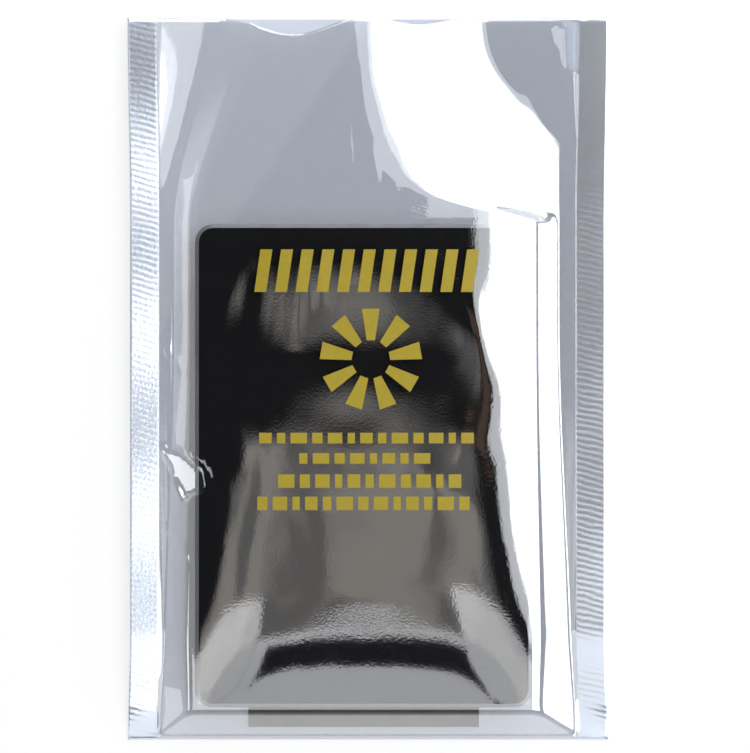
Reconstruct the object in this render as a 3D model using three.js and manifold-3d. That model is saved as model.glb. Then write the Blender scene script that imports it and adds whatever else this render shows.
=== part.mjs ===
// An open-topped static-shielding bag lying on its back, with a slim drive slipped into it.
// Frame: Z is up from the surface the bag lies on, Y runs from the folded bottom to the open
// mouth, X runs across, and the origin is under the middle of the bag. Sizes are millimetres.

import * as THREE from "three";
import { mergeVertices } from "three/addons/utils/BufferGeometryUtils.js";
import Module from "manifold-3d";

const wasm = await Module();
wasm.setup();

// The drive in the bag.
const driveWidth = 69.85;
const driveLength = 100.1;
const driveHeight = 7;
const driveCorner = 3.8;
const driveBevel = 0.8;
const driveShift = -0.9;

// The drive's lower half, its four mounting threads and the connector in its end.
const baseShare = 0.45;
const mountHoleRadius = 1.25;
const mountHoleDepth = 2.4;
const mountHoleInset = 4.07;
const mountHoleFirst = 14;
const mountHolePitch = 76.6;
const connectorWidth = 48;
const connectorReach = 4.4;
const connectorSeat = 3;
const connectorLift = 0.7;
const tongueHeight = 1.2;
const connectorClearance = 0.3;

// The bag: one length of film, folded across the bottom and heat sealed down both sides.
const filmGauge = 0.15;
const sealWidth = 6;
const foldLand = 0.8;
const sideRoom = 9.075;
const connectorToFold = 2.7;
const mouthRoom = 42.8;
const seatClearance = 0.1;

// How the film hangs between the drive, the seals, the fold and the mouth.
const frontClearance = 0.2;
const foldLevel = 0.5;
const sealLevel = 3.4;
const mouthSealLevel = 3.2;
const sealRun = 22;
const sealCurl = 0.9;
const mouthSealCurl = 0.42;
const sealWave = 0.16;
const sealWaveLength = 37;
const edgeDraw = 0.6;
const pocketGap = 0.15;
const shoulderRounding = 0.35;
const backRise = 1.2;

// The free film above the drive swells into a dome. Its lower end falls off over the run, and
// over the rise below the drive's upper end it grows higher, with its middle further left.
const domeHeight = 1;
const domeFullness = 4;
const domeRun = 66;
const upperDomeHeight = 1.6;
const upperDomeFullness = 2.8;
const upperDomeShift = -9.1;
const upperDomeRise = 28.2;

// The foot of each slope is a soft valley a little way in from the seal line. Towards the
// mouth it swings inwards and down, and close to the fold it narrows to a share of its inset.
const footInsetLeft = 2.9;
const footInsetRight = 3.9;
const footShareAtFold = 0.2;
const footRun = 88;
const footDip = 0.12;
const mouthFootDip = 1.2;
const stripSag = 1.5;
const mouthFootLeft = 15;
const mouthFootRight = 20.4;
const leftTurnPower = 1.6;
const rightTurnShare = 0.4;

// Past the drive the left slope ends in a flank, and the right one runs up to a ridge that
// swings from the drive's corner to near the bag's middle. The back film lifts further out.
const mouthFlank = 6;
const mouthRidge = -2;
const ridgeSwing = 0.11;
const mouthBackTurn = 12;

// The open mouth gapes to the saddle's level, with a low rise and two lips that have drawn back.
const saddleLevel = 5.2;
const lobes = [
  { centre: -15.5, reach: 14, rise: 0, recess: 3.4 },
  { centre: -8, reach: 20, rise: 0.7, recess: 0 },
  { centre: 10.5, reach: 9, rise: 0, recess: 1.2 },
];

const bagWidth = driveWidth + 2 * (sideRoom + sealWidth);
const driveToFold = connectorToFold + connectorReach;
const bagLength = driveToFold + driveLength + mouthRoom;
const baseHeight = baseShare * driveHeight;
const fold = -bagLength / 2;
const mouth = bagLength / 2;
const foldLine = fold + foldLand;
const driveEnd = fold + driveToFold;
const driveTop = driveEnd + driveLength;
const driveLeft = driveShift - driveWidth / 2;
const driveRight = driveShift + driveWidth / 2;
const driveSeat = filmGauge + seatClearance;
const crownLevel = driveSeat + driveHeight + frontClearance + filmGauge;

const clamp01 = (t) => Math.min(Math.max(t, 0), 1);
const mix = (a, b, t) => a + (b - a) * t;

function smooth(t) {
  const s = clamp01(t);
  return s * s * (3 - 2 * s);
}

// A bump of height 1 at 0 that falls to 0 at -1 and 1.
function bump(t) {
  return Math.abs(t) < 1 ? Math.cos((Math.PI * t) / 2) ** 2 : 0;
}

// A straight rise from 0 to 1 that rounds over in its last share.
function shoulder(t) {
  const s = clamp01(t);
  const slope = 1 / (1 - shoulderRounding / 2);
  if (s <= 1 - shoulderRounding) return s * slope;
  return 1 - (slope * (1 - s) ** 2) / (2 * shoulderRounding);
}

// The share of the way from the drive's upper end to the mouth.
function mouthShare(y) {
  return clamp01((y - driveTop) / (mouth - driveTop));
}

// The share of the way from the fold line up to the drive's lower end.
function endShare(y) {
  return clamp01((y - foldLine) / (driveEnd - foldLine));
}

function sealHeight(y) {
  const beside = mix(foldLevel, sealLevel, smooth((y - foldLine) / sealRun));
  return mix(beside, mouthSealLevel, smooth(mouthShare(y)));
}

// The eight lines that run up the bag, left to right: edge, seal, foot and shoulder, and back.
function linesAt(y) {
  const share = mouthShare(y);
  const drawn = edgeDraw * smooth((y - fold) / sealRun) * (1 - smooth(share));
  const leftEdge = drawn - bagWidth / 2;
  const rightEdge = bagWidth / 2 - drawn;
  const leftSeal = leftEdge + sealWidth;
  const rightSeal = rightEdge - sealWidth;
  const insetShare = mix(footShareAtFold, 1, smooth((y - foldLine) / footRun));
  const leftTurn = share ** leftTurnPower;
  const rightTurn = Math.sin((Math.PI / 2) * clamp01((share - rightTurnShare) / (1 - rightTurnShare)));
  const leftFoot = leftSeal + mix(footInsetLeft * insetShare, mouthFootLeft, leftTurn);
  const rightFoot = rightSeal - mix(footInsetRight * insetShare, mouthFootRight, rightTurn);
  const leftFlank = sealWidth + mouthFootLeft + mouthFlank - bagWidth / 2;
  const leftShoulder = mix(driveLeft, leftFlank, smooth(share));
  const rightShoulder = mix(mouthRidge, driveRight, 1 / (1 + (share / ridgeSwing) ** 2));
  return [leftEdge, leftSeal, leftFoot, leftShoulder, rightShoulder, rightFoot, rightSeal, rightEdge];
}

// The free film above the drive: domed over it, then easing down to the lobes of the mouth.
function crown(x, y) {
  const upper = smooth((y - driveTop + upperDomeRise) / upperDomeRise);
  const middle = driveShift + upperDomeShift * upper;
  const edge = x < middle ? driveLeft : driveRight;
  const across = clamp01((x - middle) / (edge - middle));
  const profile = 1 - across ** mix(domeFullness, upperDomeFullness, upper);
  const below = clamp01((driveEnd + domeRun - y) / domeRun);
  const towardMouth = smooth(mouthShare(y));
  const dome = mix(domeHeight, upperDomeHeight, upper) * profile * (1 - below ** 2) * (1 - towardMouth);
  const rises = lobes.map((lobe) => lobe.rise * bump((x - lobe.centre) / lobe.reach));
  const gape = saddleLevel + rises.reduce((sum, rise) => sum + rise);
  return mix(crownLevel, gape, towardMouth) + dome;
}

// How far a sealed land has curled up at x, outside its seal line.
function curl(x, y, lines) {
  const beyond = Math.max(lines[1] - x, x - lines[6], 0) / sealWidth;
  const wave = sealWave * Math.sin((2 * Math.PI * y) / sealWaveLength);
  return beyond * (mix(sealCurl, mouthSealCurl, smooth(mouthShare(y))) + wave) * endShare(y);
}

// Outer face of the back film: flat on the table, then up to the seals and the fold.
function backHeight(x, y) {
  const lines = linesAt(y);
  const left = (lines[3] - x) / (lines[3] - lines[1]);
  const turn = Math.max(lines[4], mix(driveRight, mouthBackTurn, smooth(mouthShare(y))));
  const right = (x - turn) / (lines[6] - turn);
  const side = (sealHeight(y) - filmGauge) * clamp01(Math.max(left, right)) ** backRise;
  const end = (foldLevel - filmGauge) * (1 - endShare(y));
  return Math.max(side, end) + curl(x, y, lines);
}

// Outer face of the front film: down from the seal to the foot, then up over the shoulder.
function frontHeight(x, y) {
  const lines = linesAt(y);
  const [, leftSeal, leftFoot, leftShoulder, rightShoulder, rightFoot, rightSeal] = lines;
  const sealed = sealHeight(y) + filmGauge;
  if (x <= leftSeal || x >= rightSeal) return sealed + curl(x, y, lines);
  const onLeft = x < (leftShoulder + rightShoulder) / 2;
  const footX = onLeft ? leftFoot : rightFoot;
  const sealX = onLeft ? leftSeal : rightSeal;
  const shoulderX = onLeft ? leftShoulder : rightShoulder;
  const nearEnd = clamp01(3 * endShare(y));
  const dip = mix(footDip * nearEnd, mouthFootDip, smooth(mouthShare(y)));
  const foot = Math.max(sealed - dip, backHeight(footX, y) + 2 * filmGauge + pocketGap * nearEnd);
  const inward = (x - footX) / (shoulderX - footX);
  if (inward < 0) return mix(foot, sealed, ((x - footX) / (sealX - footX)) ** stripSag);
  return mix(foot, crown(x, y), shoulder(Math.min(inward, endShare(y))));
}

// How far the front film's lip has drawn back from the mouth where it gapes.
function lipRecess(x, y) {
  const recesses = lobes.map((lobe) => lobe.recess * bump((x - lobe.centre) / lobe.reach));
  return recesses.reduce((sum, recess) => sum + recess) * mouthShare(y) ** 2;
}

// The inner face lies one gauge behind the outer one, square to the film.
function inset(height, x, y) {
  const step = 0.2;
  const slopeX = (height(x + step, y) - height(x - step, y)) / (2 * step);
  const slopeY = (height(x, y + step) - height(x, y - step)) / (2 * step);
  return filmGauge * Math.hypot(1, slopeX, slopeY);
}

function evenly(count) {
  return Array.from({ length: count }, (_, i) => i / count);
}

function closerAtEnds(count) {
  return evenly(count).map((t) => (1 - Math.cos(Math.PI * t)) / 2);
}

// Where the columns stand between the eight lines, and the rows up the bag. Past the drive the
// rows stand closer where the ridge swings.
const cornerCells = 5;
const rowCrowding = 1.4;
const columnShares = [
  evenly(2),
  evenly(2),
  evenly(cornerCells),
  closerAtEnds(14),
  evenly(cornerCells),
  evenly(2),
  evenly(2),
];
const columns = columnShares.flatMap((shares, line) => shares.map((share) => [line, share]));
columns.push([6, 1]);
const rows = [
  fold,
  ...evenly(cornerCells).map((t) => mix(foldLine, driveEnd, t)),
  ...closerAtEnds(13).map((t) => mix(driveEnd, driveTop, t)),
  ...evenly(16).map((t) => mix(driveTop, mouth, t ** rowCrowding)),
  mouth,
];
const leftSealColumn = 2;
const rightSealColumn = columns.length - 3;

// Builds a closed mesh from points and from faces of three or more corners.
class Skin {
  constructor() {
    this.points = [];
    this.corners = [];
  }

  point(x, y, z) {
    this.points.push(x, y, z);
    return this.points.length / 3 - 1;
  }

  face(...loop) {
    for (let i = 1; i < loop.length - 1; i += 1) this.corners.push(loop[0], loop[i], loop[i + 1]);
  }

  geometry() {
    const geometry = new THREE.BufferGeometry();
    geometry.setAttribute("position", new THREE.Float32BufferAttribute(this.points, 3));
    geometry.setIndex(this.corners);
    geometry.computeVertexNormals();
    return geometry;
  }
}

// The film as one solid: outer faces, the pocket between them, and the cut edges.
function bagGeometry() {
  const skin = new Skin();
  const sheets = { front: [], back: [], frontInner: [], backInner: [] };
  rows.forEach((y, row) => {
    const lines = linesAt(y);
    Object.values(sheets).forEach((sheet) => sheet.push([]));
    columns.forEach(([line, share], column) => {
      const x = mix(lines[line], lines[line + 1], share);
      const lipY = y - lipRecess(x, y);
      const front = frontHeight(x, y);
      const back = backHeight(x, y);
      sheets.front[row].push(skin.point(x, lipY, front));
      sheets.back[row].push(skin.point(x, y, back));
      const open = row > 1 && column > leftSealColumn && column < rightSealColumn;
      const meets = row > 0 && column >= leftSealColumn && column <= rightSealColumn;
      if (open) {
        sheets.frontInner[row].push(skin.point(x, lipY, front - inset(frontHeight, x, y)));
        sheets.backInner[row].push(skin.point(x, y, back + inset(backHeight, x, y)));
      } else {
        const shared = meets ? skin.point(x, y, (front + back) / 2) : -1;
        sheets.frontInner[row].push(shared);
        sheets.backInner[row].push(shared);
      }
    });
  });

  const lastRow = rows.length - 1;
  const lastColumn = columns.length - 1;
  const { front, back, frontInner, backInner } = sheets;

  // One cell of a sheet, split along the diagonal that the hips at the bottom corners follow.
  function cell(sheet, row, column, up) {
    const a = sheet[row][column];
    const b = sheet[row][column + 1];
    const c = sheet[row + 1][column + 1];
    const d = sheet[row + 1][column];
    const loop = column < lastColumn / 2 ? [a, b, c, d] : [b, c, d, a];
    if (!up) loop.push(...loop.splice(1).reverse());
    skin.face(...loop);
  }

  for (let row = 0; row < lastRow; row += 1) {
    for (let column = 0; column < lastColumn; column += 1) {
      cell(front, row, column, true);
      cell(back, row, column, false);
      if (row > 0 && column >= leftSealColumn && column < rightSealColumn) {
        cell(frontInner, row, column, false);
        cell(backInner, row, column, true);
      }
    }
    skin.face(back[row][0], front[row][0], front[row + 1][0], back[row + 1][0]);
    skin.face(
      back[row + 1][lastColumn],
      front[row + 1][lastColumn],
      front[row][lastColumn],
      back[row][lastColumn],
    );
  }

  for (let column = 0; column < lastColumn; column += 1) {
    const next = column + 1;
    skin.face(back[0][column], back[0][next], front[0][next], front[0][column]);
    const lip = (sheet, c) => sheet[lastRow][c];
    if (column >= leftSealColumn && column < rightSealColumn) {
      skin.face(lip(front, column), lip(front, next), lip(frontInner, next), lip(frontInner, column));
      skin.face(lip(backInner, column), lip(backInner, next), lip(back, next), lip(back, column));
      continue;
    }
    const loop = [lip(front, column), lip(front, next)];
    if (next === leftSealColumn) loop.push(lip(frontInner, next));
    loop.push(lip(back, next), lip(back, column));
    if (column === rightSealColumn) loop.push(lip(frontInner, column));
    skin.face(...loop);
  }
  return skin.geometry();
}

// The corners of a rounded rectangle about the origin, anticlockwise.
function roundedRectangle(width, length, radius, segments = 8) {
  const quarters = [0, 1, 2, 3].map((quarter) => ({
    x: (width / 2 - radius) * (quarter === 0 || quarter === 3 ? 1 : -1),
    y: (length / 2 - radius) * (quarter < 2 ? 1 : -1),
    start: (quarter * Math.PI) / 2,
  }));
  return quarters.flatMap(({ x, y, start }) =>
    Array.from({ length: segments + 1 }, (_, i) => {
      const angle = start + ((i / segments) * Math.PI) / 2;
      return [x + radius * Math.cos(angle), y + radius * Math.sin(angle)];
    }),
  );
}

// A slab with rounded corners, lofted through rings that are each set in from its full size.
function slabGeometry(rings) {
  const skin = new Skin();
  const loops = rings.map(({ setIn, z }) =>
    roundedRectangle(driveWidth - 2 * setIn, driveLength - 2 * setIn, driveCorner - setIn).map(([x, y]) =>
      skin.point(x, y, z),
    ),
  );
  skin.face(...[...loops[0]].reverse());
  skin.face(...loops[loops.length - 1]);
  loops.slice(1).forEach((upper, i) => {
    const lower = loops[i];
    lower.forEach((_, j) => {
      const k = (j + 1) % lower.length;
      skin.face(lower[j], lower[k], upper[k], upper[j]);
    });
  });
  return skin.geometry();
}

// The drive's upper half: its top edge is bevelled all round.
function coverGeometry() {
  const height = driveHeight - baseHeight;
  return slabGeometry([
    { setIn: 0, z: 0 },
    { setIn: 0, z: height - driveBevel },
    { setIn: driveBevel, z: height },
  ]);
}

function toSolid(geometry) {
  const bare = geometry.clone();
  bare.deleteAttribute("normal");
  bare.deleteAttribute("uv");
  const merged = mergeVertices(bare, 1e-4);
  return new wasm.Manifold(
    new wasm.Mesh({
      numProp: 3,
      vertProperties: new Float32Array(merged.attributes.position.array),
      triVerts: new Uint32Array(merged.index.array),
    }),
  );
}

function toGeometry(solid) {
  const mesh = solid.getMesh();
  const geometry = new THREE.BufferGeometry();
  geometry.setAttribute("position", new THREE.Float32BufferAttribute(mesh.vertProperties, 3));
  geometry.setIndex(Array.from(mesh.triVerts));
  geometry.computeVertexNormals();
  return geometry;
}

// A block by its size and the middle of its lower face.
function block(width, length, height, x, y, z) {
  return toSolid(new THREE.BoxGeometry(width, length, height).translate(x, y, z + height / 2));
}

// The drive's lower half: bevelled below, notched for the connector, drilled for four screws.
function baseGeometry() {
  const slab = slabGeometry([
    { setIn: driveBevel, z: 0 },
    { setIn: 0, z: driveBevel },
    { setIn: 0, z: baseHeight },
  ]);
  const notchWidth = connectorWidth + 2 * connectorClearance;
  const notchDepth = 2 * (connectorSeat + connectorClearance);
  const notch = block(notchWidth, notchDepth, 3 * baseHeight, 0, -driveLength / 2, -baseHeight);
  const holes = [-1, 1].flatMap((side) =>
    [0, 1].map((step) => {
      const x = side * (driveWidth / 2 - mountHoleInset);
      const y = mountHoleFirst + step * mountHolePitch - driveLength / 2;
      const drill = new THREE.CylinderGeometry(mountHoleRadius, mountHoleRadius, 2 * mountHoleDepth, 24);
      return toSolid(drill.rotateX(Math.PI / 2).translate(x, y, 0));
    }),
  );
  return toGeometry([notch, ...holes].reduce((solid, cut) => solid.subtract(cut), toSolid(slab)));
}

// The connector: a bar seated in the notch under the cover, with a thin tongue that stands out.
function connectorGeometry() {
  const end = -driveLength / 2;
  const seatMiddle = end + connectorSeat / 2;
  const seatHeight = baseHeight - connectorLift;
  const seat = block(connectorWidth, connectorSeat, seatHeight, 0, seatMiddle, connectorLift);
  const length = connectorReach + connectorSeat / 2;
  const tongue = block(connectorWidth, length, tongueHeight, 0, seatMiddle - length / 2, connectorLift);
  return toGeometry(seat.add(tongue));
}

const finish = {
  film: new THREE.MeshStandardMaterial({
    color: 0xb4b9c2,
    roughness: 0.12,
    metalness: 0.9,
    transparent: true,
    opacity: 0.45,
  }),
  shell: new THREE.MeshStandardMaterial({ color: 0x17181b, roughness: 0.45, metalness: 0.2 }),
  tray: new THREE.MeshStandardMaterial({ color: 0x1d1e21, roughness: 0.5, metalness: 0.3 }),
  connector: new THREE.MeshStandardMaterial({ color: 0x2a2725, roughness: 0.55, metalness: 0 }),
};

function piece(name, geometry, material) {
  const mesh = new THREE.Mesh(geometry, material);
  mesh.name = name;
  return mesh;
}

const drive = new THREE.Group();
drive.position.set(driveShift, (driveEnd + driveTop) / 2, driveSeat);
const cover = piece("drive_cover", coverGeometry(), finish.shell);
cover.position.z = baseHeight;
drive.add(cover);
drive.add(piece("drive_base", baseGeometry(), finish.tray));
drive.add(piece("drive_connector", connectorGeometry(), finish.connector));

const part = new THREE.Group();
part.add(piece("shielding_bag", bagGeometry(), finish.film));
part.add(drive);

export default part;
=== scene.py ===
"""An open-topped static shielding bag with a slim drive in it, lying on a pale floor under soft light.

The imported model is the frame. The drive's own solids stay and are dressed here. The bag's solid is
replaced by a finer skin of the same form, with the creases, dents and seal embossing of real film.
Lengths inside the classes are millimetres, and each mesh is written in metres.
"""

import logging
import math
from collections.abc import Callable
from dataclasses import dataclass, field

import bpy
import numpy as np
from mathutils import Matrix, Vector


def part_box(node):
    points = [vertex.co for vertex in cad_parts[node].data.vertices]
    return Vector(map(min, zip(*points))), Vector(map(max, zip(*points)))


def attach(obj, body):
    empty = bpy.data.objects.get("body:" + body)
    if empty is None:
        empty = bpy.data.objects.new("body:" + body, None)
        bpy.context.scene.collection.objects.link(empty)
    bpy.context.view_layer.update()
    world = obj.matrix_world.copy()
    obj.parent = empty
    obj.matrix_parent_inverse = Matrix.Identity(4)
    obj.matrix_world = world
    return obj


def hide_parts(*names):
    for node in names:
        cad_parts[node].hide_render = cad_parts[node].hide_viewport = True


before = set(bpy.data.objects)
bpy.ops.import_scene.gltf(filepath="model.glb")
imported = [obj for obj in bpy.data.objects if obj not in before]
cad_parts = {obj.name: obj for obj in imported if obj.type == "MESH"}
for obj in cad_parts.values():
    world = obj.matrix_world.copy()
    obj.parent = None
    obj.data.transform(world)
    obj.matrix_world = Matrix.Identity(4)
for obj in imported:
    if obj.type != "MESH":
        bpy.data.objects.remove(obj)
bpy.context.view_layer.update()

MM = 0.001
log = logging.getLogger("shielding_bag")

Pair = tuple[float, float]
Triple = tuple[float, float, float]
Surface = Callable[[np.ndarray, np.ndarray], np.ndarray]


def smooth(t: np.ndarray) -> np.ndarray:
    """Ease from 0 to 1: s = clamp(t), then s^2 (3 - 2 s)."""
    s = np.clip(t, 0.0, 1.0)
    return s * s * (3.0 - 2.0 * s)


def mix(a: np.ndarray, b: np.ndarray, t: np.ndarray) -> np.ndarray:
    """Straight blend a + (b - a) t."""
    return a + (b - a) * t


def bump(t: np.ndarray) -> np.ndarray:
    """A hump of height 1 at 0 that falls to 0 at -1 and 1: cos^2(pi t / 2)."""
    return np.where(np.abs(t) < 1.0, np.cos(np.pi * np.clip(t, -1.0, 1.0) / 2.0) ** 2, 0.0)


def shoulder(t: np.ndarray, rounding: float) -> np.ndarray:
    """A straight rise from 0 to 1 that rounds over, as a parabola, in its last share.

    Args:
        t: The share of the way up the slope.
        rounding: How much of the way is rounded.

    Returns:
        The share of the height.
    """
    s = np.clip(t, 0.0, 1.0)
    slope = 1.0 / (1.0 - rounding / 2.0)
    return np.where(s <= 1.0 - rounding, s * slope, 1.0 - slope * (1.0 - s) ** 2 / (2.0 * rounding))


def soft_least(a: np.ndarray, b: np.ndarray, width: float) -> np.ndarray:
    """The smaller of two values, rounded where they meet: b + (a - b) s - width s (1 - s).

    The share s goes evenly from 0 to 1 as b - a goes from -width to width.

    Args:
        a: One value.
        b: The other value.
        width: How far apart the two are where the rounding starts.

    Returns:
        The smaller value, rounded.
    """
    s = np.clip(0.5 + 0.5 * (b - a) / width, 0.0, 1.0)
    return mix(b, a, s) - width * s * (1.0 - s)


@dataclass(frozen=True)
class Lobe:
    """One lobe of the gaping mouth: how high it stands and how far its lip has drawn back."""

    centre: float
    reach: float
    rise: float = 0.0
    recess: float = 0.0


@dataclass(frozen=True)
class Crease:
    """A narrow ridge or groove in the film, along an arc between two points.

    Height adds depth * exp(-(d / width)^2) * sin(pi s)^0.5, where d is the distance from the arc and
    s is the share of the way along it. A negative depth is a groove.
    """

    start: Pair
    end: Pair
    width: float
    depth: float
    sag: float = 0.0

    def height(self, x: np.ndarray, y: np.ndarray) -> np.ndarray:
        """What the crease adds at each point.

        Args:
            x: Across the bag.
            y: Up the bag.

        Returns:
            The height to add.
        """
        along_x, along_y = self.end[0] - self.start[0], self.end[1] - self.start[1]
        length = math.hypot(along_x, along_y)
        s = ((x - self.start[0]) * along_x + (y - self.start[1]) * along_y) / length**2
        d = ((x - self.start[0]) * along_y - (y - self.start[1]) * along_x) / length
        arc = self.sag * 4.0 * s * (1.0 - s)
        taper = np.sqrt(np.sin(np.pi * np.clip(s, 0.0, 1.0)))
        return self.depth * np.exp(-(((d - arc) / self.width) ** 2)) * taper


@dataclass(frozen=True)
class Dent:
    """A soft oval dent or swelling: depth * exp(-(u / a)^2 - (v / b)^2) in axes turned by an angle."""

    centre: Pair
    size: Pair
    depth: float
    turn_deg: float = 0.0

    def height(self, x: np.ndarray, y: np.ndarray) -> np.ndarray:
        """What the dent adds at each point.

        Args:
            x: Across the bag.
            y: Up the bag.

        Returns:
            The height to add.
        """
        c, s = math.cos(math.radians(self.turn_deg)), math.sin(math.radians(self.turn_deg))
        u = (x - self.centre[0]) * c + (y - self.centre[1]) * s
        v = (y - self.centre[1]) * c - (x - self.centre[0]) * s
        return self.depth * np.exp(-((u / self.size[0]) ** 2) - (v / self.size[1]) ** 2)


@dataclass(frozen=True)
class Facet:
    """A flat pressed into the film: a plane through a point, inside a convex outline.

    The film's height is blended to point height + slope . offset by a mask that is the product of a
    smooth step across each edge of the outline, taken anticlockwise.
    """

    outline: tuple[Pair, ...]
    point: Triple
    slope: Pair
    softness: float = 0.7

    def pressed(self, x: np.ndarray, y: np.ndarray, height: np.ndarray) -> np.ndarray:
        """The film's height with the facet pressed in.

        Args:
            x: Across the bag.
            y: Up the bag.
            height: The film's height before.

        Returns:
            The height with the facet in it.
        """
        mask = 1.0
        for (x0, y0), (x1, y1) in zip(self.outline, self.outline[1:] + self.outline[:1]):
            inward = ((y - y0) * (x1 - x0) - (x - x0) * (y1 - y0)) / math.hypot(x1 - x0, y1 - y0)
            mask = mask * smooth(inward / self.softness + 0.5)
        point_x, point_y, point_height = self.point
        plane = point_height + self.slope[0] * (x - point_x) + self.slope[1] * (y - point_y)
        return mix(height, plane, mask)


@dataclass(frozen=True)
class FilmForm:
    """How the film hangs between the drive, the seals, the fold and the mouth, in millimetres."""

    half_width: float
    half_length: float
    drive_left: float
    drive_right: float
    drive_end: float
    drive_top: float
    drive_level: float
    gauge: float = 0.15
    seal_width: float = 6.0
    fold_land: float = 0.8
    clearance: float = 0.2
    dome_height: float = 1.0
    dome_power: float = 4.0
    dome_start: float = -2.0
    top_dome_height: float = 1.6
    top_dome_power: float = 2.8
    top_dome_centre: float = -10.0
    top_dome_start: float = 4.0
    fold_level: float = 0.5
    seal_level: float = 3.4
    mouth_seal_level: float = 3.2
    seal_run: float = 22.0
    seal_curl: float = 0.68
    mouth_seal_curl: float = 0.42
    seal_wave: float = 0.07
    seal_wave_length: float = 37.0
    edge_draw: float = 0.6
    back_rise: float = 1.2
    mouth_flat_right: float = 12.0
    pocket_gap: float = 0.15
    gap_rate: float = 3.0
    foot_run: float = 88.0
    foot_share_at_fold: float = 0.2
    foot_dip: float = 0.12
    mouth_foot_dip: float = 1.2
    foot_inset_left: float = 2.9
    foot_inset_right: float = 3.9
    mouth_foot_left: float = 15.0
    mouth_foot_right: float = 20.4
    left_turn_power: float = 1.6
    right_turn_share: float = 0.4
    left_flank: float = 6.0
    right_ridge: float = -2.0
    ridge_swing: float = 0.11
    rounding: float = 0.35
    corner_rounding: float = 0.16
    strip_sag: float = 1.5
    free_margin: float = 1.5
    free_end_share: float = 0.3
    saddle_level: float = 5.2
    lobes: tuple[Lobe, ...] = (
        Lobe(-15.5, 14.0, 0.0, 3.4),
        Lobe(-8.0, 20.0, 0.7, 0.0),
        Lobe(10.5, 9.0, 0.0, 1.2),
    )
    creases: tuple[Crease, ...] = ()
    dents: tuple[Dent, ...] = ()
    facets: tuple[Facet, ...] = ()

    @classmethod
    def from_frame(cls, **details: object) -> "FilmForm":
        """Takes the bag's and the drive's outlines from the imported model.

        Args:
            details: Further fields, such as the creases.

        Returns:
            The form.
        """
        low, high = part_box("shielding_bag")
        drive_low, drive_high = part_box("drive_cover")
        return cls(
            half_width=(high.x - low.x) / 2.0 / MM,
            half_length=(high.y - low.y) / 2.0 / MM,
            drive_left=drive_low.x / MM,
            drive_right=drive_high.x / MM,
            drive_end=drive_low.y / MM,
            drive_top=drive_high.y / MM,
            drive_level=drive_high.z / MM,
            **details,
        )

    @property
    def fold_line(self) -> float:
        """Where the two films part above the fold."""
        return self.fold_land - self.half_length

    def mouth_share(self, y: np.ndarray) -> np.ndarray:
        """The share of the way from the drive's upper end to the mouth."""
        return np.clip((y - self.drive_top) / (self.half_length - self.drive_top), 0.0, 1.0)

    def end_share(self, y: np.ndarray) -> np.ndarray:
        """The share of the way from the fold line up to the drive's lower end."""
        return np.clip((y - self.fold_line) / (self.drive_end - self.fold_line), 0.0, 1.0)

    def seal_height(self, y: np.ndarray) -> np.ndarray:
        """The height of the seals' middle plane: low at the fold, higher beside the drive."""
        beside = mix(self.fold_level, self.seal_level, smooth((y - self.fold_line) / self.seal_run))
        return mix(beside, self.mouth_seal_level, smooth(self.mouth_share(y)))

    def lines(self, y: np.ndarray) -> list[np.ndarray]:
        """The eight lines up the bag, left to right: edge, seal, foot and shoulder, and back.

        The edges are drawn in beside the drive. Each foot lies its inset from the seal, less of it by
        the fold, and swings to its place at the mouth: the left one by share^power, the right one by
        sin(pi share / 2) once its share is passed. The right shoulder swings back by
        1 / (1 + (share / swing)^2).

        Args:
            y: Up the bag.

        Returns:
            Where each line lies at each y.
        """
        share = self.mouth_share(y)
        drawn = self.edge_draw * smooth((y + self.half_length) / self.seal_run) * (1.0 - smooth(share))
        left_edge, right_edge = drawn - self.half_width, self.half_width - drawn
        left_seal, right_seal = left_edge + self.seal_width, right_edge - self.seal_width
        inset = mix(self.foot_share_at_fold, 1.0, smooth((y - self.fold_line) / self.foot_run))
        left_turn = share**self.left_turn_power
        turning = np.clip((share - self.right_turn_share) / (1.0 - self.right_turn_share), 0, 1)
        right_turn = np.sin(np.pi / 2.0 * turning)
        left_foot = left_seal + mix(self.foot_inset_left * inset, self.mouth_foot_left, left_turn)
        right_foot = right_seal - mix(self.foot_inset_right * inset, self.mouth_foot_right, right_turn)
        left_flank = self.seal_width + self.mouth_foot_left + self.left_flank - self.half_width
        left_shoulder = mix(self.drive_left, left_flank, smooth(share))
        swing = 1.0 / (1.0 + (share / self.ridge_swing) ** 2)
        right_shoulder = mix(self.right_ridge, self.drive_right, swing)
        left = [left_edge, left_seal, left_foot, left_shoulder]
        return left + [right_shoulder, right_foot, right_seal, right_edge]

    def crown(self, x: np.ndarray, y: np.ndarray) -> np.ndarray:
        """The free film above the drive, domed, easing down to the lobes of the mouth.

        dome = height (1 - |across|^power) (1 - below^2), where across is the share of the way from
        the dome's middle to the drive's side and below the share of the way down to its lower end.
        Towards the drive's upper end the dome is higher and its middle lies further left.

        Args:
            x: Across the bag.
            y: Up the bag.

        Returns:
            The height of the film's outer face, where it hangs free.
        """
        top = smooth((y - self.top_dome_start) / (self.drive_top - self.top_dome_start))
        middle = mix((self.drive_left + self.drive_right) / 2.0, self.top_dome_centre, top)
        height = mix(self.dome_height, self.top_dome_height, top)
        power = mix(self.dome_power, self.top_dome_power, top)
        edge = np.where(x < middle, self.drive_left, self.drive_right)
        across = np.clip((x - middle) / (edge - middle), 0.0, 1.0)
        below = np.clip((self.dome_start - y) / (self.dome_start - self.drive_end), 0.0, 1.0)
        toward_mouth = smooth(self.mouth_share(y))
        dome = height * (1.0 - across**power) * (1.0 - below**2) * (1.0 - toward_mouth)
        raised = sum(lobe.rise * bump((x - lobe.centre) / lobe.reach) for lobe in self.lobes)
        gape = self.saddle_level + raised
        return mix(self.drive_level + self.clearance + self.gauge, gape, toward_mouth) + dome

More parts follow.
